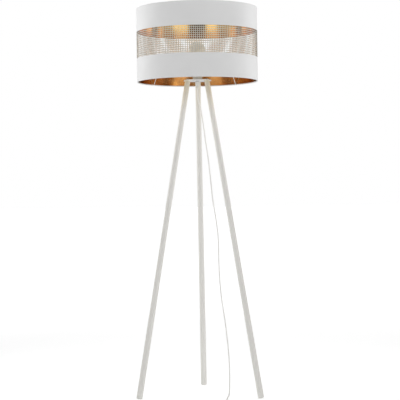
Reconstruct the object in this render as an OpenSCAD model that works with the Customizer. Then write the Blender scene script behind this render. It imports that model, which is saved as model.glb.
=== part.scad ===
// Tripod floor lamp: a drum shade on three straight legs, with its lamp holder, bulb and mains lead.
// The origin is on the floor, in the middle of the box round lamp and feet. +Z is up and -Y is the front.

/* [Shade] */
// Outer diameter of the drum
shade_d = 500; // [440:1:520]
// Height of the drum
shade_h = 304; // [280:1:320]
// Height of the drum's lower edge above the floor
shade_z = 1294; // [1294:1:1296]
// Height of the grid band in the middle of the drum
band_h = 110; // [80:1:140]
// Thickness of the drum's white skin
skin_t = 1; // [0.8:0.1:1.4]
// Thickness of the gold foil on the inside of the skin
foil_t = 0.4; // [0.2:0.1:0.6]
// Diameter of the two rim wires and of the carrier's arms
wire_d = 3; // [2.4:0.1:3.4]
// Angle of the first carrier arm, counted from +X
carrier_turn = 51; // [46:1:56]

/* [Tripod] */
// Height of the plate's underside, where the legs end
plate_z = 1298; // [1297:1:1299]
// Diameter of the plate
plate_d = 114; // [112:1:130]
// Thickness of the plate
plate_t = 3; // [2:0.5:3]
// Distance of each leg's axis from the middle, under the plate
leg_top_r = 45.7; // [44:0.1:48]
// Distance of each leg's axis from the middle, on the floor
leg_foot_r = 285; // [260:1:300]
// Diameter of a leg at its top end
leg_top_d = 22; // [20:0.5:22.5]
// Diameter of a leg at its foot
leg_foot_d = 25.5; // [24:0.5:28]

/* [Lamp holder] */
// Outer diameter of the holder
holder_d = 38; // [37:0.5:39]
// Height of the holder above the plate
holder_h = 58; // [56:1:60]
// Height of the shoulder that carries the shade, above the plate
shoulder_h = 34; // [32:1:36]

/* [Bulb] */
// Diameter of the bulb
bulb_d = 66; // [58:1:70]
// Length of the bulb from its contact to its crown
bulb_l = 126; // [118:1:132]

/* [Lead] */
// Diameter of the mains lead
lead_d = 5.5; // [5.2:0.1:5.6]
// Length of the switch on the lead
switch_l = 76; // [72:1:80]
// Width of the switch
switch_w = 34; // [32:1:36]
// Height of the switch without its button
switch_h = 19; // [18:0.5:20]
// Travel of the button
button_travel = 2.5; // [1.5:0.5:3]
// Diameter of each plug pin
pin_d = 4; // [3.9:0.05:4]

/* [Hidden] */

$fn = 96;
fit_gap = 0.06;   // radial clearance of what turns or slides
slack = 0.1;      // clearance where a piece only rests
cut = 60;         // half the size of a block that trims a slanted piece
big = 500;
axis_y = -23.5;   // where the lamp's axis stands: only one leg reaches to the rear, and two to the front

white = [0.93, 0.93, 0.92];
gold = [0.86, 0.62, 0.22];
paint = [0.85, 0.84, 0.81];
steel = [0.72, 0.73, 0.75];
brass = [0.80, 0.66, 0.35];
plastic = [0.90, 0.90, 0.88];

// legs
leg_angles = [210, 330, 90];
leg_tilt = atan((leg_foot_r - leg_top_r) / plate_z);
sole_z = 3.2;     // height of the middle of a leg's lower end
leg_l = (plate_z - sole_z) / cos(leg_tilt);
glide_r = 10;
glide_t = 2.2;
screw_r = 3;      // machine screws, M6
screw_l = 28;     // length of a screw below the plate's underside
screw_head_r = 5.8;
screw_head_h = 3;
screw_drive_r = 2.3;
insert_in_leg_r = 4.5;
insert_in_leg_l = 20;
washer_r = 7;
washer_t = 1.6;   // height of the slanted washer on its axis, above the plate
wall_gap = 0.05;  // clearance of a round piece in its seat

// plate and what stands on it
plate_top = plate_z + plate_t;
plate_on_axis = plate_t / cos(leg_tilt);
nipple_r = 5;     // threaded tube, M10
nipple_bore_r = 3.2;
lock_h = 3;
grip_h = 22;
grip_z = plate_z - lock_h - grip_h;
holder_r = holder_d / 2;
holder_z = plate_top;
base_h = 22;
floor_h = 8;      // thick floor of the holder's base, which the threaded tube screws into
ledge_h = 11;     // ledge that the insert stands on
shoulder_z = holder_z + shoulder_h;
shoulder_t = 3;
shoulder_r = 23.5;
collar_r = 19.9;  // the threaded part of the shell, above and below the shoulder
mouth_r = 14.4;
insert_z = holder_z + ledge_h;
insert_h = 20;
insert_r = 15.2;
insert_top = insert_z + insert_h;

// bulb
cap_r = 13;
bulb_z = holder_z + shoulder_h;  // the bulb's contact is level with the shoulder
bulb_r = bulb_d / 2;
globe_z = bulb_z + bulb_l - bulb_r;
cap_z = bulb_z + 3;
cap_h = 23;
rim_z = cap_z + cap_h;
seam_z = globe_z - 22;
seam_r = sqrt(pow(bulb_r, 2) - pow(globe_z - seam_z, 2));
globe_wall = 1.6;
screw_bore_r = cap_r + fit_gap;

// shade
shade_r = shade_d / 2;
strip_h = (shade_h - band_h) / 2;
wire_r = wire_d / 2;
hem_t = 0.5;      // the skin turned round each rim wire
hem_r = wire_r + hem_t;
rim_r = shade_r - skin_t - wire_r;   // middle of a rim wire
ring_z = shoulder_z + slack;
ring_t = 1.6;
ring_bore_r = 20;
ring_r = 26;
arm_z = ring_z + ring_t / 2;
arm_knee_r = rim_r - 19;
notch_w = 7;
notch_wall = 0.3; // what a notch in the hem leaves standing on the skin
weld = 1.5;       // how far an arm runs over the carrier's ring
knee_r = wire_r + 0.15;
ring_nut_r = 24;
ring_nut_z = ring_z + ring_t + slack;
ring_nut_h = 8;

// lead, in the order in which the cord runs
lead_r = lead_d / 2;
sides = 10;
lead_route = [
    [0, 0, 1273], [0, 0, 1250], [3, 0, 1220], [11, 0, 1185], [19, 0, 1135], [30, 0, 1050],
    [41, 0, 970], [49, 0, 890], [57, 0, 805], [70, 0, 720], [78, 0, 640], [79, 0, 555],
    [82, 0, 470], [89, 0, 390], [101, 0, 305], [110, 0, 225], [116, -1, 150], [118, -6, 90],
    [118, -20, 44], [117, -46, 13], [115, -80, 3], [112, -120, 3], [110, -175, 3], [110, -230, 3],
    [109, -280, 3], [100, -318, 3], [82, -339, 5], [62, -345, 7], [50, -345, 7]
];
link_route = [[-30, -345, 7], [-42, -345, 7], [-54, -345, 5.5], [-68, -345, 3.8], [-97, -345, 3.8]];
tail_route = [[-123, -345, 9.5], [-130, -345, 9.2], [-140, -345, 7.6], [-150, -345, 7], [-168, -345, 7]];
steps = 3;        // rings of the tube to each stretch of the route
switch_at = [10, -345, 0];
switch_split = 9; // height of the switch's lower half
switch_wall = 2;
sleeve_l = 14;
sleeve_z = 7;
button_r = 11;
button_h = 9;     // from the button's foot to its crown
button_proud = button_travel + 0.5;
boss_at = [[22, 11], [-22, -11]];
boss_r = 3.4;
boss_screw_r = 1.45;
boss_head_r = 2.6;
coil_at = [-110, -380, 0];
coil_in_r = 21.4; // hole of the coil
coil_out_r = 37.8;
coil_low = 0.9;   // underside of the coil, which lies on its tie
coil_top = 12.4;
tie_t = 0.8;
tie_w = 4;
plug_x = -150;    // where the plug's strain relief takes the cord
plug_y = -345;
plug_z = 7;
relief_l = 25;
plug_l = 32;
pin_l = 19;
pin_bare = 9;
pin_gap = 18.6;   // between the two pins
pin_core_r = 1.4;
sleeve_r = 1.8;

// ---- helpers

// Everything is drawn round the lamp's own axis, and this puts it where that axis stands
module placed() {
    translate([0, axis_y, 0]) children();
}

function unit(v) = v / norm(v);

// One point of the smooth curve through four neighbouring points, at t between the middle two
function curve_point(a, b, c, d, t) =
    0.5 * (2 * b + (c - a) * t + (2 * a - 5 * b + 4 * c - d) * t * t + (3 * b - a - 3 * c + d) * t * t * t);

function smooth_route(p, n) = let (last = len(p) - 1) [
    for (i = [0 : last - 1]) for (k = [0 : n - 1])
        curve_point(i == 0 ? 2 * p[0] - p[1] : p[i - 1], p[i], p[i + 1],
                    i == last - 1 ? 2 * p[last] - p[last - 1] : p[i + 2], k / n),
    p[last]
];

function headings(q) = let (last = len(q) - 1) [
    for (i = [0 : last]) unit(q[min(i + 1, last)] - q[max(i - 1, 0)])
];

// A sideways vector for each ring, carried along the curve so that the tube doesn't twist
function carried(t, start) = [
    for (i = 0, n = unit(start - (start * t[0]) * t[0]); i < len(t);
         i = i + 1, n = i < len(t) ? unit(n - (n * t[i]) * t[i]) : n) n
];

module tube(route, r, start) {
    q = smooth_route(route, steps);
    t = headings(q);
    n = carried(t, start);
    rings = len(q);
    points = [
        for (i = [0 : rings - 1]) for (k = [0 : sides - 1])
            let (a = 360 * k / sides) q[i] + r * (cos(a) * n[i] + sin(a) * cross(t[i], n[i]))
    ];
    skin = [
        for (i = [0 : rings - 2]) for (k = [0 : sides - 1])
            let (j = (k + 1) % sides, a = i * sides) [a + k, a + sides + k, a + sides + j, a + j]
    ];
    ends = [
        [for (k = [0 : sides - 1]) k],
        [for (k = [sides - 1 : -1 : 0]) (rings - 1) * sides + k]
    ];
    polyhedron(points = points, faces = concat(skin, ends), convexity = 6);
}

module ring(outer, inner, z, h) {
    translate([0, 0, z]) difference() {
        cylinder(r = outer, h = h);
        translate([0, 0, -1]) cylinder(r = inner, h = h + 2);
    }
}

// The frame of a leg: the origin is where its axis meets the plate, and +Z runs up its axis
module on_leg(angle) {
    rotate([0, 0, angle]) translate([leg_top_r, 0, plate_z]) rotate([0, -leg_tilt, 0]) children();
}

// An upright slab with round ends and a bevelled upper edge
module slab(l, w, h, bevel) {
    for (s = [-1, 1]) translate([s * (l - w) / 2, 0, 0]) {
        cylinder(d = w, h = h - bevel);
        translate([0, 0, h - bevel]) cylinder(d1 = w, d2 = w - 2 * bevel, h = bevel);
    }
    rotate([90, 0, 90]) linear_extrude(l - w, center = true) polygon([
        [-w / 2, 0], [w / 2, 0], [w / 2, h - bevel], [w / 2 - bevel, h],
        [-w / 2 + bevel, h], [-w / 2, h - bevel]
    ]);
}

// ---- tripod

module leg(i) {
    color(paint) difference() {
        on_leg(leg_angles[i]) translate([0, 0, -leg_l])
            cylinder(d1 = leg_foot_d, d2 = leg_top_d, h = leg_l + 4);
        translate([-cut * 2, -cut * 2, plate_z]) cube([cut * 4, cut * 4, cut]);
        on_leg(leg_angles[i]) {
            translate([0, 0, -screw_l - 4]) cylinder(r = screw_r + 0.3, h = screw_l);
            translate([0, 0, -insert_in_leg_l - 3])
                cylinder(r = insert_in_leg_r, h = insert_in_leg_l + 10);
        }
    }
}

module glide(i) {
    color([0.35, 0.34, 0.32]) difference() {
        on_leg(leg_angles[i]) translate([0, 0, -leg_l - glide_t]) cylinder(r = glide_r, h = glide_t);
        translate([-big, -big, -cut]) cube([2 * big, 2 * big, cut]);
    }
}

module leg_inserts() {
    color(brass) for (a = leg_angles) on_leg(a) translate([0, 0, -insert_in_leg_l - 3]) difference() {
        cylinder(r = insert_in_leg_r, h = insert_in_leg_l);
        translate([0, 0, -1]) cylinder(r = screw_r + wall_gap, h = insert_in_leg_l + 2);
    }
}

module leg_washers() {
    color(steel) for (a = leg_angles) difference() {
        on_leg(a) translate([0, 0, -1]) cylinder(r = washer_r, h = plate_on_axis + washer_t + 1);
        translate([-cut * 2, -cut * 2, plate_top - cut]) cube([cut * 4, cut * 4, cut]);
        on_leg(a) translate([0, 0, -5]) cylinder(r = screw_r + 0.3, h = 30);
    }
}

module leg_screws() {
    color(steel) for (a = leg_angles) on_leg(a) difference() {
        union() {
            translate([0, 0, -screw_l]) cylinder(r = screw_r, h = screw_l + plate_on_axis + washer_t);
            translate([0, 0, plate_on_axis + washer_t]) {
                cylinder(r = screw_head_r, h = screw_head_h - 1);
                translate([0, 0, screw_head_h - 1])
                    cylinder(r1 = screw_head_r, r2 = screw_head_r - 1.6, h = 1);
            }
        }
        translate([0, 0, plate_on_axis + washer_t + 1]) cylinder(r = screw_drive_r, h = 6, $fn = 6);
    }
}

module plate() {
    color(white) difference() {
        translate([0, 0, plate_z]) cylinder(d = plate_d, h = plate_t);
        translate([0, 0, plate_z - 1]) cylinder(r = nipple_r + 0.2, h = plate_t + 2);
        for (a = leg_angles) on_leg(a) translate([0, 0, -4]) cylinder(r = screw_r + 0.3, h = 12);
    }
}

// ---- lamp holder

module nipple() {
    color(steel) ring(nipple_r, nipple_bore_r, plate_z - lock_h - 8, lock_h + 8 + plate_t + 9);
}

module nipple_nut() {
    color(steel) translate([0, 0, plate_z - lock_h]) difference() {
        cylinder(r = 8.1, h = lock_h, $fn = 6);
        translate([0, 0, -1]) cylinder(r = nipple_r + wall_gap, h = lock_h + 2);
    }
}

module cord_grip() {
    color(plastic) translate([0, 0, grip_z]) difference() {
        union() {
            cylinder(r1 = 4.2, r2 = 6.5, h = grip_h - 10);
            translate([0, 0, grip_h - 10]) cylinder(r1 = 8, r2 = 9, h = 2);
            translate([0, 0, grip_h - 8]) cylinder(r = 9, h = 8);
        }
        translate([0, 0, -1]) cylinder(r = lead_r + wall_gap, h = grip_h + 2);
        translate([0, 0, grip_h - 8.1]) cylinder(r = nipple_r + wall_gap, h = 10);
    }
}

module cord_inner() {
    color(white) translate([0, 0, grip_z]) cylinder(r = lead_r, h = insert_z - grip_z - 1);
}

module holder_base() {
    color(plastic) translate([0, 0, holder_z]) difference() {
        union() {
            cylinder(r1 = holder_r - 1, r2 = holder_r, h = 1);
            translate([0, 0, 1]) cylinder(r = holder_r, h = base_h - 1);
        }
        translate([0, 0, ledge_h]) cylinder(r = insert_r + wall_gap, h = base_h);
        translate([0, 0, floor_h]) cylinder(r = insert_r - 1.7, h = base_h);
        translate([0, 0, -1]) cylinder(r = nipple_r + wall_gap, h = base_h);
    }
}

module holder_shell() {
    color(plastic) difference() {
        union() {
            translate([0, 0, holder_z + base_h]) cylinder(r = collar_r, h = holder_h - base_h - 1);
            translate([0, 0, holder_z + holder_h - 1]) cylinder(r1 = collar_r, r2 = collar_r - 1, h = 1);
            translate([0, 0, shoulder_z - shoulder_t]) cylinder(r = shoulder_r, h = shoulder_t);
        }
        translate([0, 0, holder_z + base_h - 1])
            cylinder(r = insert_r + 0.3, h = insert_top - holder_z - base_h + 1);
        translate([0, 0, insert_top - 1]) cylinder(r = mouth_r, h = holder_h);
    }
}

module holder_insert() {
    color([0.95, 0.94, 0.90]) translate([0, 0, insert_z]) difference() {
        cylinder(r = insert_r, h = insert_h);
        for (s = [-1, 1]) translate([s * 9, 0, -1]) cylinder(r = 2, h = 8);
    }
}

module screw_shell() {
    color(brass) translate([0, 0, insert_top]) difference() {
        cylinder(r = screw_bore_r + 0.5, h = holder_z + holder_h - insert_top - 3);
        translate([0, 0, 0.6]) cylinder(r = screw_bore_r, h = 60);
        translate([0, 0, -1]) cylinder(r = 7, h = 4);
    }
}

module centre_contact() {
    color(brass) translate([0, 0, insert_top]) {
        cylinder(r = 4.6, h = 0.8);
        translate([0, 0, 0.8]) cylinder(r1 = 3.4, r2 = 2.6, h = bulb_z - insert_top - 1.1);
    }
}

module terminal_screws() {
    color(brass) for (s = [-1, 1]) translate([s * 9, 0, insert_z]) {
        translate([0, 0, -1.6]) cylinder(r = 3, h = 1.6);
        cylinder(r = 1.9, h = 6.5);
    }
}

module ring_nut() {
    color(plastic) translate([0, 0, ring_nut_z]) difference() {
        union() {
            cylinder(r = ring_nut_r, h = 2);
            translate([0, 0, 2]) cylinder(r = ring_nut_r - 1, h = ring_nut_h - 2);
        }
        translate([0, 0, -1]) cylinder(r = collar_r + fit_gap, h = ring_nut_h + 2);
        for (k = [0 : 23]) rotate([0, 0, 15 * k]) translate([ring_nut_r - 1.8, -0.8, 3])
            cube([3, 1.6, ring_nut_h]);
    }
}

// ---- shade

module carrier_ring() {
    color(white) ring(ring_r, ring_bore_r, ring_z, ring_t);
}

module carrier_arm(k) {
    foot = [rim_r, 0, shade_z + hem_r];
    knee = [arm_knee_r, 0, arm_z];
    slope = foot - knee;
    lean = atan2(slope[0], -slope[2]);
    color(white) rotate([0, 0, carrier_turn + 90 * k]) {
        translate([ring_r - weld, 0, arm_z]) rotate([0, 90, 0])
            cylinder(r = wire_r, h = arm_knee_r - ring_r + weld);
        translate(knee) sphere(r = knee_r);
        translate(knee) rotate([0, 180 - lean, 0]) cylinder(r = wire_r, h = norm(slope) - 0.8 * wire_r);
    }
}

module rim_wire(z) {
    color(white) rotate_extrude($fn = 180) translate([rim_r, z]) circle(r = wire_r, $fn = 32);
}

// A plain strip of the drum, with its free edge at z = 0 turned round the rim wire
module strip() {
    rotate_extrude($fn = 180) difference() {
        union() {
            translate([shade_r - skin_t, 0]) square([skin_t, strip_h]);
            translate([rim_r, hem_r]) circle(r = hem_r, $fn = 32);
            translate([rim_r, 0]) square([wire_r + skin_t, hem_r]);
        }
        translate([rim_r, hem_r]) circle(r = wire_r, $fn = 32);
        translate([shade_r, -1]) square([5, strip_h + 2]);
    }
}

module shade_upper() {
    color(white) translate([0, 0, shade_z + shade_h]) mirror([0, 0, 1]) strip();
}

module shade_band() {
    color(white) ring(shade_r, shade_r - skin_t, shade_z + strip_h, band_h);
}

module shade_lower() {
    color(white) difference() {
        translate([0, 0, shade_z]) strip();
        for (k = [0 : 3]) rotate([0, 0, carrier_turn + 90 * k])
            translate([rim_r - 6, -notch_w / 2, shade_z - 1])
                cube([6 + wire_r - notch_wall, notch_w, 2 * hem_r + 3]);
    }
}

module foil(z) {
    color(gold) ring(shade_r - skin_t, shade_r - skin_t - foil_t, z, strip_h - 2 * hem_r - 0.2);
}

// ---- bulb

module bulb_globe() {
    color([0.97, 0.96, 0.93]) rotate_extrude() difference() {
        intersection() {
            translate([0, globe_z]) circle(r = bulb_r);
            translate([0, seam_z]) square([bulb_r + 1, bulb_l]);
        }
        translate([0, globe_z]) circle(r = bulb_r - globe_wall);
        translate([-big, seam_z - 1]) square([big, bulb_l]);
    }
}

module bulb_collar() {
    color([0.95, 0.95, 0.94]) {
        translate([0, 0, rim_z]) cylinder(r = cap_r + 0.8, h = 4);
        translate([0, 0, rim_z + 4])
            cylinder(r1 = cap_r + 0.8, r2 = seam_r - 0.2, h = seam_z - rim_z - 4);
    }
}

module bulb_cap() {
    color(steel) translate([0, 0, cap_z]) difference() {
        cylinder(r = cap_r, h = cap_h);
        translate([0, 0, -1]) cylinder(r = 9, h = 2);
    }
}

module bulb_insulator() {
    color([0.08, 0.08, 0.09]) translate([0, 0, bulb_z + 0.8]) {
        cylinder(r1 = 5, r2 = 8.8, h = cap_z - bulb_z - 0.8);
        translate([0, 0, cap_z - bulb_z - 0.8]) cylinder(r = 8.8, h = 1);
    }
}

module bulb_tip() {
    color(brass) translate([0, 0, bulb_z]) cylinder(r1 = 3.4, r2 = 4.4, h = 0.8);
}

// ---- lead, switch and plug

module cord_lead() {
    color(white) tube(lead_route, lead_r, [1, 0, 0]);
}

module cord_link() {
    color(white) tube(link_route, lead_r, [0, 1, 0]);
}

module cord_tail() {
    color(white) tube(tail_route, lead_r, [0, 1, 0]);
}

// What both halves of the switch share: the two sleeves for the cord
module sleeves() {
    for (s = [0, 180]) rotate([0, 0, s]) translate([switch_l / 2 - 3, 0, sleeve_z])
        rotate([0, 90, 0]) cylinder(r1 = 6, r2 = 4.2, h = sleeve_l + 3);
}

module cord_way() {
    translate([0, 0, sleeve_z]) rotate([0, 90, 0])
        cylinder(r = lead_r + wall_gap, h = 2 * switch_l, center = true);
}

module below(z) {
    translate([-switch_l, -switch_w, z - 30]) cube([2 * switch_l, 2 * switch_w, 30]);
}

module bosses(z, h) {
    for (p = boss_at) translate([p[0], p[1], z]) cylinder(r = boss_r, h = h);
}

module switch_base() {
    room_l = switch_l - 2 * switch_wall;
    room_w = switch_w - 2 * switch_wall;
    color(plastic) translate(switch_at) difference() {
        union() {
            difference() {
                union() {
                    slab(switch_l, switch_w, switch_split, 0.01);
                    intersection() {
                        sleeves();
                        below(switch_split);
                    }
                }
                translate([0, 0, switch_wall]) slab(room_l, room_w, 30, 0.01);
                cord_way();
            }
            bosses(switch_wall - 0.5, switch_split - switch_wall + 0.5);
        }
        for (p = boss_at) translate([p[0], p[1], -1]) {
            cylinder(r = boss_screw_r + wall_gap, h = 20);
            cylinder(r = boss_head_r + 0.2, h = 2.4);
        }
    }
}

module switch_cover() {
    room_l = switch_l - 2 * switch_wall;
    room_w = switch_w - 2 * switch_wall;
    room_h = switch_h - switch_split - switch_wall;
    color(plastic) translate(switch_at) difference() {
        union() {
            difference() {
                union() {
                    translate([0, 0, switch_split]) slab(switch_l, switch_w, switch_h - switch_split, 2.5);
                    difference() {
                        sleeves();
                        below(switch_split);
                    }
                }
                translate([0, 0, switch_split - 1]) slab(room_l, room_w, room_h + 1, 1);
                cord_way();
            }
            bosses(switch_split, room_h + 0.5);
        }
        cylinder(r = button_r + fit_gap, h = 60);
        for (p = boss_at) translate([p[0], p[1], 0]) cylinder(r = boss_screw_r, h = switch_split + 5);
    }
}

module switch_block() {
    color([0.95, 0.95, 0.93]) translate(switch_at) translate([-13, -9, switch_wall]) cube([26, 18, 6]);
}

module switch_button() {
    color([0.82, 0.82, 0.81]) translate(switch_at)
        translate([0, 0, switch_h + button_proud - button_h]) {
            cylinder(r = button_r, h = button_h - 1);
            translate([0, 0, button_h - 1]) cylinder(r1 = button_r, r2 = button_r - 1.2, h = 1);
            cylinder(r = button_r + 1.4, h = 1.2);
        }
}

module switch_screws() {
    color(steel) translate(switch_at) for (p = boss_at) translate([p[0], p[1], 0.3]) {
        cylinder(r = boss_head_r, h = 1.1);
        cylinder(r = boss_screw_r, h = switch_split + 4);
    }
}

module cord_coil() {
    color(white) translate([coil_at[0], coil_at[1], coil_low]) difference() {
        cylinder(r = coil_out_r, h = coil_top - coil_low);
        translate([0, 0, -1]) cylinder(r = coil_in_r, h = coil_top + 2);
    }
}

module coil_tie() {
    wide = coil_out_r - coil_in_r + 0.6;
    tall = coil_top - coil_low;
    color([0.25, 0.25, 0.26]) translate([coil_at[0], coil_at[1] - (coil_in_r + coil_out_r) / 2, coil_low]) {
        difference() {
            translate([-tie_w / 2, -wide / 2 - tie_t, -tie_t])
                cube([tie_w, wide + 2 * tie_t, tall + 2 * tie_t]);
            translate([-tie_w, -wide / 2, 0]) cube([2 * tie_w, wide, tall]);
        }
        translate([-tie_w / 2 - 0.8, -3, tall + tie_t]) cube([tie_w + 1.6, 6, 2.4]);
    }
}

module plug_body() {
    color(white) translate([plug_x, plug_y, plug_z]) rotate([0, -90, 0]) difference() {
        union() {
            cylinder(r1 = 4, r2 = 5.5, h = relief_l);
            hull() {
                translate([0, 0, relief_l - 1]) cylinder(r = 5.5, h = 2, $fn = 32);
                translate([-6.8, -12.5, relief_l + 14]) cube([13.6, 25, plug_l - 14]);
                translate([-3.4, -17.5, relief_l + 14]) cube([6.8, 35, plug_l - 14]);
            }
            for (s = [-1, 1]) translate([0, s * pin_gap / 2, relief_l + plug_l - 1])
                cylinder(r = sleeve_r, h = pin_l - pin_bare + 1);
        }
        for (s = [-1, 1]) translate([0, s * pin_gap / 2, relief_l + plug_l - 12])
            cylinder(r = pin_core_r, h = 40);
        translate([0, 0, -1]) cylinder(r = lead_r + wall_gap, h = relief_l - 4);
    }
}

module plug_pins() {
    color(steel) translate([plug_x, plug_y, plug_z]) rotate([0, -90, 0])
        for (s = [-1, 1]) translate([0, s * pin_gap / 2, relief_l + plug_l]) {
            translate([0, 0, -12]) cylinder(r = pin_core_r, h = 12 + pin_l - pin_bare);
            translate([0, 0, pin_l - pin_bare]) cylinder(d = pin_d, h = pin_bare - 1);
            translate([0, 0, pin_l - 1]) cylinder(d1 = pin_d, d2 = pin_d - 1.6, h = 1);
        }
}

placed() leg(0);  // leg_front_left
placed() leg(1);  // leg_front_right
placed() leg(2);  // leg_rear
placed() glide(0);  // glide_front_left
placed() glide(1);  // glide_front_right
placed() glide(2);  // glide_rear
placed() leg_inserts();
placed() leg_washers();
placed() leg_screws();
placed() plate();
placed() nipple();
placed() nipple_nut();
placed() cord_grip();
placed() cord_inner();
placed() holder_base();
placed() holder_shell();
placed() holder_insert();
placed() screw_shell();
placed() centre_contact();
placed() terminal_screws();
placed() ring_nut();
placed() carrier_ring();
placed() carrier_arm(0);  // carrier_arm_1
placed() carrier_arm(1);  // carrier_arm_2
placed() carrier_arm(2);  // carrier_arm_3
placed() carrier_arm(3);  // carrier_arm_4
placed() rim_wire(shade_z + hem_r);  // rim_wire_bottom
placed() rim_wire(shade_z + shade_h - hem_r);  // rim_wire_top
placed() shade_upper();
placed() shade_band();
placed() shade_lower();
placed() foil(shade_z + shade_h - strip_h + 0.1);  // foil_upper
placed() foil(shade_z + 2 * hem_r + 0.1);  // foil_lower
placed() bulb_globe();
placed() bulb_collar();
placed() bulb_cap();
placed() bulb_insulator();
placed() bulb_tip();
placed() cord_lead();
placed() switch_base();
placed() switch_cover();
placed() switch_block();
placed() switch_button();
placed() switch_screws();
placed() cord_link();
placed() cord_coil();
placed() coil_tie();
placed() cord_tail();
placed() plug_body();
placed() plug_pins();
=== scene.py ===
"""Tripod floor lamp: the looks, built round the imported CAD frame. Metres, +Z up, -Y the front."""

import math

import bpy
from mathutils import Matrix, Vector


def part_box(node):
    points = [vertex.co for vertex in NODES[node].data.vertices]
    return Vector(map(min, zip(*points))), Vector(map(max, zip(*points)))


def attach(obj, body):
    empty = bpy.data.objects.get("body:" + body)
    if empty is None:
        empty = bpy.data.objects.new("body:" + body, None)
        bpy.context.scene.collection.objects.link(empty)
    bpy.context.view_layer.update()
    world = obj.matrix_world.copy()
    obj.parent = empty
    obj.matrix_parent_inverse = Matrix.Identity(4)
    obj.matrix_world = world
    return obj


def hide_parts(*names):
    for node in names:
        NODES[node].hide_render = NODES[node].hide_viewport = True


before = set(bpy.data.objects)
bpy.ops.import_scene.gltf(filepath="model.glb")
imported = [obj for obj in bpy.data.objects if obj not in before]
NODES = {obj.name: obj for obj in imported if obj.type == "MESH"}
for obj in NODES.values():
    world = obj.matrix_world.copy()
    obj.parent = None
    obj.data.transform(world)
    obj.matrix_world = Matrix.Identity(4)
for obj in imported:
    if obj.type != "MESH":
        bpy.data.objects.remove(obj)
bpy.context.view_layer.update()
MM = 0.001

# ---------------------------------------------------------------- places, read from the CAD nodes
SHADE_LOW, SHADE_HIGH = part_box("shade_band")
# Where the lamp's upright axis meets the floor.
AXIS = Vector(((SHADE_LOW.x + SHADE_HIGH.x) / 2, (SHADE_LOW.y + SHADE_HIGH.y) / 2, 0))
SHADE_R = (SHADE_HIGH.x - SHADE_LOW.x) / 2


# ---------------------------------------------------------------- camera
CAMERA_TURN = math.radians(2.216)           # how far it stands to the right of the lamp's own front
CAMERA_PLACE = (0.0042, -5.7734, 0.8043)    # from the axis at the floor, before that turn, m
CAMERA_ROLL = -0.0127                       # radians
CAMERA_LENS, CAMERA_SENSOR = 125.3016, 36   # mm
CAMERA_CLIP = (0.1, 400)                    # m


def make_camera():
    """The photographer's place: 5.8 m in front, a little to the right, at half the lamp's height."""
    data = bpy.data.cameras.new("camera")
    data.sensor_width = CAMERA_SENSOR
    data.lens = CAMERA_LENS
    data.clip_start, data.clip_end = CAMERA_CLIP
    cam = bpy.data.objects.new("camera", data)
    bpy.context.scene.collection.objects.link(cam)
    about_lamp = Matrix.Translation(AXIS) @ Matrix.Rotation(CAMERA_TURN, 4, "Z")
    stand = Matrix.Translation(CAMERA_PLACE) @ Matrix.Rotation(math.radians(90), 4, "X")
    cam.matrix_world = about_lamp @ stand @ Matrix.Rotation(CAMERA_ROLL, 4, "Z")
    bpy.context.scene.camera = cam


# ---------------------------------------------------------------- the lead
# Its route is in millimetres from the foot of the lamp's axis, as the CAD source gives it.
LEAD_R = 2.75 * MM
LEAD_SIDES, LEAD_STEPS = 16, 4        # round the cord, and between two points of its route
LEAD_ROUTE = [                        # from the grip to the switch
    (0, 0, 1273), (0, 0, 1250), (3, 0, 1220), (11, 0, 1185), (19, 0, 1135), (30, 0, 1050),
    (41, 0, 970), (49, 0, 890), (57, 0, 805), (70, 0, 720), (78, 0, 640), (79, 0, 555),
    (82, 0, 470), (89, 0, 390), (101, 0, 305), (110, 0, 225), (116, -1, 150), (118, -6, 90),
    (118, -20, 44), (117, -46, 13), (115, -80, 3), (112, -120, 3), (110, -175, 3), (110, -230, 3),
    (109, -280, 3), (100, -318, 3), (82, -339, 5), (62, -345, 7), (50, -345, 7),
]
SWITCH_ROUTE = [(30, -345, 7), (0, -345, 7)]
LINK_ROUTE = [(-30, -345, 7), (-42, -345, 7), (-54, -345, 5.5), (-68, -345, 3.8), (-97, -345, 3.8)]
TAIL_ROUTE = [(-123, -345, 9.5), (-130, -345, 9.2), (-140, -345, 7.6), (-150, -345, 7), (-168, -345, 7)]
COIL_AT = (-110, -380)                # the coil's middle
COIL_WIDE, COIL_NARROW = 35.0, 24.2   # the outer and the inner turn's radius, mm
COIL_LOW, COIL_HIGH = 3.8, 9.5        # height of the lower and the upper layer's turns, mm
COIL_CLIMB = (0.44, 0.12)             # where it goes up, and over how long, as parts of the whole coil
TURNS_IN_LAYER = 2
POINTS_IN_TURN = 16


def coil_route():
    """Two turns inwards on the floor, up, and two turns outwards on top of them, anticlockwise."""
    points = []
    count = 2 * TURNS_IN_LAYER * POINTS_IN_TURN
    for i in range(1, count):
        t = i / count
        angle = math.radians(90) + 2 * math.pi * i / POINTS_IN_TURN
        inward = 1 - abs(2 * t - 1)
        radius = COIL_WIDE - (COIL_WIDE - COIL_NARROW) * inward
        climb = min(max((t - COIL_CLIMB[0]) / COIL_CLIMB[1], 0), 1)
        height = COIL_LOW + (COIL_HIGH - COIL_LOW) * climb * climb * (3 - 2 * climb)
        x, y = COIL_AT[0] + radius * math.cos(angle), COIL_AT[1] + radius * math.sin(angle)
        points.append((x, y, height))
    return points


def at_lamp(p):
    """A point of the lead's route, in metres."""
    return AXIS + Vector(p) * MM


def make_lead(sheath):
    """One round cord from under the plate to the plug, through the switch and the coil."""
    route = LEAD_ROUTE + SWITCH_ROUTE + LINK_ROUTE + coil_route() + TAIL_ROUTE
    points = smooth([at_lamp(p) for p in route], LEAD_STEPS)
    vertices, faces = tube(points, LEAD_R, LEAD_SIDES)
    lead = new_piece("lead", vertices, faces, "stand", [sheath])
    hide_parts("cord_lead", "cord_link", "cord_coil", "cord_tail")


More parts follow.
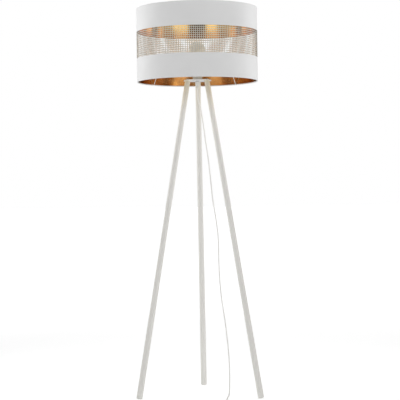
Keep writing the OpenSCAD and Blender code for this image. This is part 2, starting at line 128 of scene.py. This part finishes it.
def tube(points, radius, sides):
    """The vertices and faces of a closed round tube along the points, without twist."""
    headings = [(b - a).normalized() for a, b in zip([points[0], *points], [*points[1:], points[-1]])]
    headings[0] = (points[1] - points[0]).normalized()
    across = headings[0].orthogonal().normalized()
    vertices = []
    for p, ahead in zip(points, headings):
        across = (across - across.dot(ahead) * ahead).normalized()
        other = ahead.cross(across)
        for k in range(sides):
            a = 2 * math.pi * k / sides
            vertices.append(p + radius * (math.cos(a) * across + math.sin(a) * other))
    faces = []
    for i in range(len(points) - 1):
        here, beyond = i * sides, (i + 1) * sides
        for k in range(sides):
            after = (k + 1) % sides
            faces.append((here + k, here + after, beyond + after, beyond + k))
    faces.append(tuple(reversed(range(sides))))
    faces.append(tuple(range((len(points) - 1) * sides, len(points) * sides)))
    return vertices, faces


def smooth(points, steps):
    """The smooth curve through the points, with that many stretches between each two."""
    ends = [2 * points[0] - points[1], *points, 2 * points[-1] - points[-2]]
    made = []
    for a, b, c, d in zip(ends, ends[1:], ends[2:], ends[3:]):
        for k in range(steps):
            t = k / steps
            made.append(0.5 * (2 * b + (c - a) * t + (2 * a - 5 * b + 4 * c - d) * t ** 2
                               + (3 * b - a - 3 * c + d) * t ** 3))
    return made + [points[-1]]


# ---------------------------------------------------------------- materials
class Nodes:
    """A material's nodes: make one, join it on, and set what it holds."""

    def __init__(self, name, **shader):
        """A new material. The values go to its shader's sockets of those names."""
        self.material = bpy.data.materials.new(name)
        self.material.use_nodes = True
        self.tree = self.material.node_tree
        self.bsdf = next(n for n in self.tree.nodes if n.type == "BSDF_PRINCIPLED")
        for socket, value in shader.items():
            self.bsdf.inputs[socket.replace("_", " ")].default_value = value

    def add(self, kind, inputs=(), **settings):
        """A node of that kind. Each input is a value, or another node's socket to join to it."""
        node = self.tree.nodes.new("ShaderNode" + kind)
        for key, value in settings.items():
            setattr(node, key, value)
        for key, value in dict(inputs).items():
            if isinstance(value, bpy.types.NodeSocket):
                self.tree.links.new(value, node.inputs[key])
            else:
                node.inputs[key].default_value = value
        return node

    def place(self, scale=(1, 1, 1), rotation=(0, 0, 0)):
        """The place on the object, in metres, scaled and turned."""
        inputs = {"Vector": self.add("TexCoord").outputs["Object"], "Scale": scale, "Rotation": rotation}
        return self.add("Mapping", inputs).outputs["Vector"]

    def noise(self, where, scale, detail=3, roughness=0.5, distortion=0):
        """A soft random pattern, with values round 0.5."""
        return self.add("TexNoise", {"Vector": where, "Scale": scale, "Detail": detail,
                                     "Roughness": roughness, "Distortion": distortion}).outputs["Fac"]

    def mix(self, factor, one, other):
        """Two values, mixed."""
        inputs = {"Factor": factor, "A": one, "B": other}
        return self.add("Mix", inputs, data_type="FLOAT").outputs["Result"]

    def mix_colour(self, factor, one, other):
        """Two colours, mixed."""
        return self.add("MixRGB", {"Fac": factor, "Color1": one, "Color2": other}).outputs["Color"]

    def maths(self, operation, *values):
        """One step of arithmetic, by Blender's name for it."""
        return self.add("Math", dict(enumerate(values)), operation=operation).outputs[0]

    def ramp(self, value, low, high):
        """The low colour where the value is under 0.3, the high one over 0.7, and a blend between."""
        node = self.add("ValToRGB", {"Fac": value})
        for e, at, colour in zip(node.color_ramp.elements, (0.3, 0.7), (low, high)):
            e.position = at
            e.color = (*colour, 1)
        return node.outputs["Color"]

    def across(self, where, axis):
        """One of a place's three co-ordinates."""
        return self.add("SeparateXYZ", {"Vector": where}).outputs[axis]

    def span(self, value, low, high, start=0.3, end=0.7):
        """Low where the value is at start, high where it is at end, and straight between."""
        return self.add("MapRange", {"Value": value, "From Min": start, "From Max": end,
                                     "To Min": low, "To Max": high}).outputs["Result"]

    def bump(self, height, strength, distance, below=None):
        """Relief, on top of another relief if one is given."""
        inputs = {"Height": height, "Strength": strength, "Distance": distance}
        if below is not None:
            inputs["Normal"] = below
        return self.add("Bump", inputs).outputs["Normal"]

    def use(self, **links):
        """Join these to the shader's sockets of those names. This ends a material, and returns it."""
        for socket, source in links.items():
            self.tree.links.new(source, self.bsdf.inputs[socket.replace("_", " ")])
        return self.material


def shades(colour, by):
    """The colour a little darker and a little lighter."""
    return [tuple(c * (1 - by) for c in colour), tuple(min(c * (1 + by), 1) for c in colour)]


def moulded(name, colour, rough=0.4, grain=1400, spread=0.03, depth=0.02, **shader):
    """Plastic or paint: a fine grain in the surface, with slow changes of tone and gloss."""
    n = Nodes(name, **shader)
    where = n.place()
    slow = n.noise(where, 18, 2)
    fine = n.noise(where, grain, 2)
    return n.use(Base_Color=n.ramp(slow, *shades(colour, spread)),
                 Roughness=n.span(fine, rough - 0.06, rough + 0.08),
                 Normal=n.bump(fine, 0.25, depth * MM))


def worked_metal(name, colour, rough=0.3, along=(1, 1, 12)):
    """Turned or drawn metal, with fine lines and slow stains."""
    n = Nodes(name, Metallic=1.0)
    lines = n.noise(n.place(scale=along), 260, 4, 0.7)
    slow = n.noise(n.place(), 45, 3)
    return n.use(Base_Color=n.ramp(slow, *shades(colour, 0.1)),
                 Roughness=n.span(lines, rough - 0.08, rough + 0.12),
                 Normal=n.bump(lines, 0.2, 0.02 * MM))


GOLD_REFLECTION_HEIGHTS = (1.16, 1.30)   # between these heights the legs' colour is painted warmer, a painted reflection of the foil's gold light, m


def painted_wood(name, axis, gold_reflection):
    """Off-white lacquer over beech. The grain runs along the leg and only just shows. The top is painted
    warmer: a painted reflection of the gold light that the foil throws down on the legs.
    """
    n = Nodes(name, Coat_Weight=0.12, Coat_Roughness=0.25)
    turned = tuple(axis.rotation_difference(Vector((0, 0, 1))).to_euler())
    long_grain = n.place(scale=(1, 1, 0.035), rotation=turned)
    streaks = n.noise(long_grain, 210, 4, 0.6, 0.4)
    pores = n.noise(n.place(scale=(1, 1, 0.06), rotation=turned), 900, 2, 0.5)
    slow = n.noise(n.place(), 5, 2)
    tone = n.mix(0.3, streaks, slow)
    paint = n.ramp(tone, (0.76, 0.748, 0.713), (0.795, 0.783, 0.748))
    # painted reflection: a tan tint for the legs' tops, standing in for the foil's gold light
    painted_gold_tint = n.ramp(tone, (0.69, 0.628, 0.48), (0.73, 0.672, 0.528))
    gold_reflection_mask = n.span(n.across(n.place(), "Z"), 0, gold_reflection, *GOLD_REFLECTION_HEIGHTS)
    return n.use(Base_Color=n.mix_colour(gold_reflection_mask, paint, painted_gold_tint),
                 Roughness=n.span(streaks, 0.42, 0.56),
                 Normal=n.bump(pores, 0.15, 0.03 * MM, n.bump(streaks, 0.2, 0.03 * MM)))


SEAM_X, SEAM_HALF = -0.0044, 0.0005   # where the skin's lap ends at the rear, and half the line's width, m
SEAM_SHADE = 0.55                     # the line's tone, as a part of the skin's own


def laminate(name, colour=(0.728, 0.728, 0.728)):
    """The drum's white skin: satin plastic on a stiff core, faintly uneven, with its lap at the rear."""
    n = Nodes(name, Specular_IOR_Level=0.4)
    where = n.place()
    slow = n.noise(where, 9, 2)
    fleck = n.noise(where, 620, 3, 0.6)
    skin = n.ramp(n.mix(0.35, slow, fleck), *shades(colour, 0.035))
    off_seam = n.maths("ABSOLUTE", n.maths("SUBTRACT", n.across(where, "X"), SEAM_X))
    rear = n.maths("GREATER_THAN", n.across(where, "Y"), 0.0)
    seam = n.maths("MULTIPLY", n.span(off_seam, 1, 0, 0, SEAM_HALF), rear)
    line = (*(SEAM_SHADE * c for c in colour), 1)
    return n.use(Base_Color=n.mix_colour(seam, skin, line),
                 Roughness=n.span(fleck, 0.46, 0.6),
                 Normal=n.bump(fleck, 0.15, 0.02 * MM, n.bump(slow, 0.2, 0.4 * MM)))


def foil(name, colour):
    """Gold foil inside the drum: rolling streaks round it and shallow waves from the glue."""
    n = Nodes(name, Metallic=1.0)
    rolled = n.noise(n.place(scale=(1, 1, 26)), 14, 4, 0.6)
    waves = n.noise(n.place(scale=(1, 1, 1.6)), 11, 3, 0.55, 0.3)
    fine = n.noise(n.place(), 420, 2)
    return n.use(Base_Color=n.ramp(waves, *shades(colour, 0.08)),
                 Roughness=n.span(rolled, 0.11, 0.2),
                 Normal=n.bump(fine, 0.12, 0.02 * MM, n.bump(waves, 0.35, 0.5 * MM)))


def opal(name):
    """The bulb's diffuser: milky plastic, with a little light passing through it. Its colour is painted
    tan, a painted reflection of the gold foil's light.
    """
    n = Nodes(name, Subsurface_Weight=0.35, Subsurface_Radius=(0.02, 0.018, 0.014), Subsurface_Scale=0.3,
              Coat_Weight=0.25, Coat_Roughness=0.1)
    where = n.place()
    fine = n.noise(where, 800, 2)
    slow = n.noise(where, 30, 2)
    # painted reflection: the white diffuser is coloured tan, as the gold foil's light tints it
    return n.use(Base_Color=n.ramp(slow, (0.84, 0.75, 0.58), (0.90, 0.82, 0.68)),
                 Roughness=n.span(fine, 0.26, 0.32),
                 Normal=n.bump(fine, 0.04, 0.01 * MM))


# ---------------------------------------------------------------- pieces
def new_piece(name, vertices, faces, body, materials, face_material=None):
    """A piece that isn't a CAD mesh, on its body, with a material per face where they are given."""
    mesh = bpy.data.meshes.new(name)
    mesh.from_pydata([tuple(v) for v in vertices], [], faces)
    for m in materials:
        mesh.materials.append(m)
    if face_material is not None:
        mesh.polygons.foreach_set("material_index", face_material)
    mesh.polygons.foreach_set("use_smooth", [True] * len(mesh.polygons))
    mesh.validate()
    piece = bpy.data.objects.new(name, mesh)
    bpy.context.scene.collection.objects.link(piece)
    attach(piece, body)
    return piece


GRID_COLUMNS, GRID_ROWS = 200, 14
GRID_HOLE = 5.9 * MM
GRID_FIRST = math.radians(270.1)   # middle of the first column of holes
GRID_THICK = 0.5 * MM
OUTSIDE, INSIDE, CUT_EDGE = range(3)   # which of the grid's materials a face has


def make_grid(outside, inside, cut_edge):
    """The drum's middle band: a sheet with rows of square holes, white outside and gold inside."""
    low, high = SHADE_LOW.z, SHADE_HIGH.z
    pitch = (high - low) / GRID_ROWS
    half_angle = GRID_HOLE / 2 / SHADE_R
    step = 2 * math.pi / GRID_COLUMNS
    angles = [GRID_FIRST + k * step + s * half_angle for k in range(GRID_COLUMNS) for s in (-1, 1)]
    heights = [low + (j + 0.5) * pitch + s * GRID_HOLE / 2 for j in range(GRID_ROWS) for s in (-1, 1)]
    heights = [low, *heights, high]
    across, up = len(angles), len(heights)
    vertices = []
    for r in (SHADE_R, SHADE_R - GRID_THICK):
        for z in heights:
            vertices += [(AXIS.x + r * math.cos(a), AXIS.y + r * math.sin(a), z) for a in angles]

    def at(layer, row, col):
        """The vertex there: layer 0 is the outside and 1 the inside."""
        return layer * across * up + row * across + col % across

    faces, kind = [], []

    def put(face, material):
        faces.append(face)
        kind.append(material)

    for row in range(up - 1):
        for col in range(across):
            quad = [at(0, row, col), at(0, row, col + 1), at(0, row + 1, col + 1), at(0, row + 1, col)]
            back = [i + across * up for i in quad]
            if row % 2 == 1 and col % 2 == 0:   # a hole: only its four cut edges
                for i in range(4):
                    j = (i + 1) % 4
                    put([quad[i], back[i], back[j], quad[j]], CUT_EDGE)
            else:
                put(quad, OUTSIDE)
                put(back[::-1], INSIDE)
    top = up - 1
    for col in range(across):
        put([at(0, 0, col), at(1, 0, col), at(1, 0, col + 1), at(0, 0, col + 1)], OUTSIDE)
        put([at(0, top, col), at(0, top, col + 1), at(1, top, col + 1), at(1, top, col)], OUTSIDE)
    materials = [outside, inside, cut_edge]
    piece = new_piece("shade_grid", vertices, faces, "shade", materials, kind)
    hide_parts("shade_band")


# ---------------------------------------------------------------- stage and light
def area_light(name, place, towards, size, power, colour=(1, 1, 1), in_mirrors=False):
    """An oblong lamp that the camera doesn't see, aimed at a place. Shiny things show it only if asked."""
    data = bpy.data.lights.new(name, "AREA")
    data.shape = "RECTANGLE"
    data.size, data.size_y = size
    data.energy = power
    data.color = colour
    light = bpy.data.objects.new(name, data)
    light.location = place
    light.rotation_euler = (Vector(towards) - Vector(place)).to_track_quat("-Z", "Y").to_euler()
    bpy.context.scene.collection.objects.link(light)
    light.visible_camera = False
    light.visible_glossy = in_mirrors


def round_lamp(azimuth, distance, height):
    """A place round the lamp: azimuth 0 is in front of it and 90 on its right."""
    a = math.radians(azimuth)
    return (AXIS.x + distance * math.sin(a), AXIS.y - distance * math.cos(a), height)


def on_axis(height):
    """A place on the lamp's axis."""
    return AXIS + Vector((0, 0, height))


# How bright the studio is seen from the lamp, by the angle in degrees to the right of the camera. Screens
# stand on both sides and reach round to the rear. The camera's own side and the rear's middle are dark.
STUDIO = [
    (-180, 0.1), (-150, 0.15), (-142, 0.9), (-92, 1.1), (-90, 0.06), (-82, 0.06), (-80, 0.5), (-41, 0.5),
    (-38, 1.55), (-20, 1.55), (-17, 0.03), (15, 0.03), (18, 1.55), (46, 1.55), (50, 0.5), (80, 0.5),
    (82, 0.06), (90, 0.06), (92, 1.1), (142, 0.9), (150, 0.15), (180, 0.1),
]
STUDIO_HEIGHTS = [(-0.04, 0.35), (0.0, 1), (0.35, 1), (0.5, 0.4)]   # by the sine of the angle upwards
FLOOR_GLOW = (0.42, 0.80)   # under the lamp, and far away where the lights don't reach
FLOOR_HALF, FLOOR_Z = 150, -0.0006   # half its side, and its height just under the lead, m
# Powers in watts: from above, from the two sides, what the foil throws down on the legs, the two bright
# patches on the foil, and the small spark on its right.
TOP_POWER = 25.5
SIDE_POWER = {"left": 13.5, "right": 9.5}
GOLD_GLOW, GOLD_PATCH, GOLD_SPARK = 0.035, 0.013, 0.005


def make_world():
    """White behind the lamp for the camera, and screens and dark parts round it for everything else."""
    world = bpy.data.worlds.new("studio")
    bpy.context.scene.world = world
    world.use_nodes = True
    tree = world.node_tree

    def node(kind, **settings):
        made = tree.nodes.new("ShaderNode" + kind)
        for key, value in settings.items():
            setattr(made, key, value)
        return made

    where, turn = node("TexCoord"), node("Mapping")
    turn.inputs["Rotation"].default_value = (0, 0, math.radians(90) - CAMERA_TURN)
    around, bright = node("TexGradient", gradient_type="RADIAL"), node("ValToRGB")
    split, upwards, height = node("SeparateXYZ"), node("MapRange"), node("ValToRGB")
    upwards.inputs["From Min"].default_value = -1
    for ramp, levels, whole in ((bright, STUDIO, 360), (height, STUDIO_HEIGHTS, 2)):
        band = ramp.color_ramp.elements
        while len(band) < len(levels):
            band.new(0.5)
        for e, (at, level) in zip(band, levels):
            e.position = 0.5 + at / whole
            e.color = (level, level, level, 1)
    strength = node("Math", operation="MULTIPLY")
    screens, backdrop = tree.nodes["Background"], node("Background")
    screens.inputs["Color"].default_value = (1, 1, 1, 1)
    backdrop.inputs["Color"].default_value = (1, 1, 1, 1)
    path, mix = node("LightPath"), node("MixShader")
    for source, target in (
            (where.outputs["Generated"], turn.inputs["Vector"]),
            (turn.outputs["Vector"], around.inputs["Vector"]),
            (around.outputs["Fac"], bright.inputs["Fac"]),
            (where.outputs["Generated"], split.inputs["Vector"]),
            (split.outputs["Z"], upwards.inputs["Value"]),
            (upwards.outputs["Result"], height.inputs["Fac"]),
            (bright.outputs["Color"], strength.inputs[0]),
            (height.outputs["Color"], strength.inputs[1]),
            (strength.outputs[0], screens.inputs["Strength"]),
            (path.outputs["Is Camera Ray"], mix.inputs[0]),
            (screens.outputs[0], mix.inputs[1]),
            (backdrop.outputs[0], mix.inputs[2]),
            (mix.outputs[0], tree.nodes["World Output"].inputs["Surface"])):
        tree.links.new(source, target)


def make_floor():
    """A wide white floor that glows a little, so that it stays white where the lights don't reach."""
    corners = [(-1, -1), (1, -1), (1, 1), (-1, 1)]
    mesh = bpy.data.meshes.new("floor")
    mesh.from_pydata([(FLOOR_HALF * x, FLOOR_HALF * y, FLOOR_Z) for x, y in corners], [], [(0, 1, 2, 3)])
    floor = bpy.data.objects.new("floor", mesh)
    bpy.context.scene.collection.objects.link(floor)
    floor.visible_glossy = False
    n = Nodes("floor_white", Roughness=0.9, Specular_IOR_Level=0.1, Emission_Color=(1, 1, 1, 1))
    soft = n.noise(n.place(), 3, 2)
    near = n.add("TexGradient", {"Vector": n.place(scale=(0.2, 0.2, 0.2))}, gradient_type="SPHERICAL")
    glow = n.span(near.outputs["Fac"], FLOOR_GLOW[1], FLOOR_GLOW[0], 0.0, 0.8)
    mesh.materials.append(n.use(Base_Color=n.ramp(soft, (0.93, 0.93, 0.93), (0.95, 0.95, 0.95)),
                                Emission_Strength=glow))


def make_stage():
    """The world, the floor and the lamps. The gold ones are inside the shade."""
    bpy.context.scene.view_settings.view_transform = "Standard"
    make_world()
    make_floor()
    for side, name in ((-1, "left"), (1, "right")):
        area_light("side_" + name, round_lamp(110 * side, 1.7, 1.6), on_axis(1.44), (1.0, 0.7),
                   SIDE_POWER[name])
        area_light("gold_glow_" + name, round_lamp(82 * side, 0.21, 1.34), on_axis(1.2), (0.1, 0.06),
                   GOLD_GLOW, (1.0, 0.68, 0.22))
        area_light("gold_patch_" + name, round_lamp(54 * side, 0.22, 1.36), on_axis(1.25), (0.14, 0.07),
                   GOLD_PATCH, (1.0, 0.9, 0.6), in_mirrors=True)
    area_light("gold_spark", round_lamp(71, 0.225, 1.338), on_axis(1.3), (0.06, 0.015), GOLD_SPARK,
               (1.0, 0.85, 0.45), in_mirrors=True)
    area_light("top", (0, 0.1, 3.7), (0, 0, 0), (2.4, 2.4), TOP_POWER)


# ---------------------------------------------------------------- the whole lamp
LEG_FOOT_OUT, LEG_TOP_OUT, LEG_RISE = 285, 45.7, 1298   # a leg's two ends from the axis, and its height, mm
LEG_TILT = math.atan2(LEG_FOOT_OUT - LEG_TOP_OUT, LEG_RISE)


def leg_axis(name):
    """From a leg's foot to its top, as a direction."""
    low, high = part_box(name)
    middle = (low + high) / 2
    outward = Vector((middle.x - AXIS.x, middle.y - AXIS.y, 0)).normalized()
    inwards = -math.sin(LEG_TILT)
    return Vector((outward.x * inwards, outward.y * inwards, math.cos(LEG_TILT)))


def dress():
    """Make the materials, put one on each CAD node, and make the two pieces that replace CAD nodes."""
    white = laminate("shade_white")
    gold = foil("gold_foil", (0.88, 0.575, 0.15))
    # painted shade: the lower strip's foil is the same gold foil, coloured darker and browner
    gold_shaded = foil("gold_foil_painted_shade", (0.72, 0.435, 0.20))
    steel = worked_metal("steel", (0.56, 0.57, 0.58), 0.32)
    brass = worked_metal("brass", (0.72, 0.52, 0.22), 0.3)
    holder = moulded("holder_plastic", (0.74, 0.73, 0.70), 0.38)
    wire = moulded("wire_white", (0.80, 0.80, 0.79), 0.4, 900, 0.04, 0.06)
    switch = moulded("switch_plastic", (0.78, 0.78, 0.76), 0.36, 1800)
    finish = {
        "plate": moulded("plate_white", (0.80, 0.80, 0.80), 0.45, 1100, 0.02, 0.08),
        "bulb_globe": opal("bulb_diffuser"),
        "bulb_collar": moulded("bulb_housing", (0.82, 0.82, 0.80), 0.35),
        "bulb_cap": worked_metal("cap_metal", (0.64, 0.63, 0.60), 0.28, (1, 1, 14)),
        "bulb_insulator": moulded("black_glass", (0.012, 0.012, 0.014), 0.15, 300, 0.2),
        "holder_insert": moulded("porcelain", (0.80, 0.78, 0.73), 0.22, 500, Coat_Weight=0.4),
        "switch_button": moulded("button_plastic", (0.60, 0.60, 0.59), 0.32, 1800),
        "coil_tie": moulded("tie", (0.05, 0.05, 0.052), 0.5, 1500, 0.1),
        "plug_body": moulded("plug_plastic", (0.77, 0.77, 0.75), 0.42, 1500),
        "cord_inner": moulded("cord_sheath", (0.86, 0.855, 0.83), 0.42, 1500),
        "shade_upper": white, "shade_lower": white, "foil_upper": gold, "foil_lower": gold_shaded,
        "plug_pins": worked_metal("pin_metal", (0.70, 0.69, 0.66), 0.25, (14, 1, 1)),
    }
    # how much painted gold reflection each leg's top gets: less on the rear leg
    for which, gold_reflection in (("front_left", 0.9), ("front_right", 0.9), ("rear", 0.35)):
        leg, glide = "leg_" + which, "glide_" + which
        finish[leg] = painted_wood("leg_paint_and_gold_reflection_" + which, leg_axis(leg), gold_reflection)
        finish[glide] = moulded(glide, (0.66, 0.65, 0.62), 0.6, 700, 0.06, 0.2)
    finish |= dict.fromkeys(("leg_washers", "leg_screws", "nipple", "nipple_nut", "switch_screws"), steel)
    finish |= dict.fromkeys(("leg_inserts", "screw_shell", "centre_contact", "terminal_screws", "bulb_tip"),
                            brass)
    finish |= dict.fromkeys(("cord_grip", "holder_base", "holder_shell", "ring_nut"), holder)
    finish |= dict.fromkeys(("carrier_ring", "carrier_arm_1", "carrier_arm_2", "carrier_arm_3",
                             "carrier_arm_4", "rim_wire_bottom", "rim_wire_top"), wire)
    finish |= dict.fromkeys(("switch_base", "switch_cover"), switch)
    finish["switch_block"] = moulded("switch_block_plastic", (0.75, 0.74, 0.70), 0.5)
    make_lead(finish["cord_inner"])
    # the holes' cut edges are coloured dark brown
    dark_edge = moulded("dark_cut_edge", (0.15, 0.11, 0.065), 0.6, 900, 0.15)
    # painted shade: the band's outside is the same white skin as the strips, coloured darker and warmer
    make_grid(laminate("grid_white_painted_shade", (0.62, 0.595, 0.54)), gold, dark_edge)
    replaced = {"cord_lead", "cord_link", "cord_coil", "cord_tail", "shade_band"}
    for name, node in NODES.items():
        if name not in replaced:
            for slot in node.material_slots:
                slot.material = finish[name]


make_camera()
dress()
make_stage()
